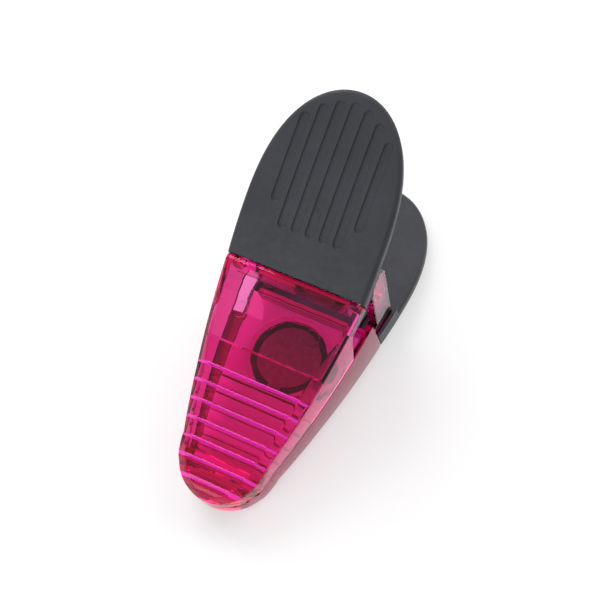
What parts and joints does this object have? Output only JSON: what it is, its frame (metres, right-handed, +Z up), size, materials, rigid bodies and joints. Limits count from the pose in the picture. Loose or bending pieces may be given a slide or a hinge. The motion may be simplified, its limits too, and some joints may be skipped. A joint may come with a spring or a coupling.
{
  "type": "bag clip",
  "caption": "Sprung bag clip with ribbed clear pink jaws, soft grooved black handle grips and a round magnet in a jaw, shown closed and lying on its back.",
  "frame": {"origin": "centre of the bounding box at the ground, under the clip as it lies on its lower jaw and lower handle", "axes": "+X across the clip along the hinge pin, +Y from the jaws to the handles, +Z up"},
  "size_m": [0.0376, 0.107, 0.0642],
  "materials": {
    "clear_plastic": "clear tinted, polished",
    "grip": "soft matt",
    "magnet": "bare ferrite",
    "steel": "bright wire"
  },
  "bodies": {
    "lower_body": {"lower_arm": "clear_plastic", "lower_grip": "grip", "magnet": "magnet", "hinge_pin": "steel", "torsion_spring": "steel"},
    "upper_body": {"upper_arm": "clear_plastic", "upper_grip": "grip"}
  },
  "joints": [
    {"name": "jaw_hinge", "type": "hinge", "parent": "lower_body", "child": "upper_body", "pos_m": [0, 0.00896, 0.02268], "axis": [-1, 0, 0], "range_deg": [0, 72], "stiffness_Nm_per_rad": 0.25, "springref_deg": -68.75, "deforming": ["torsion_spring"]}
  ]
}
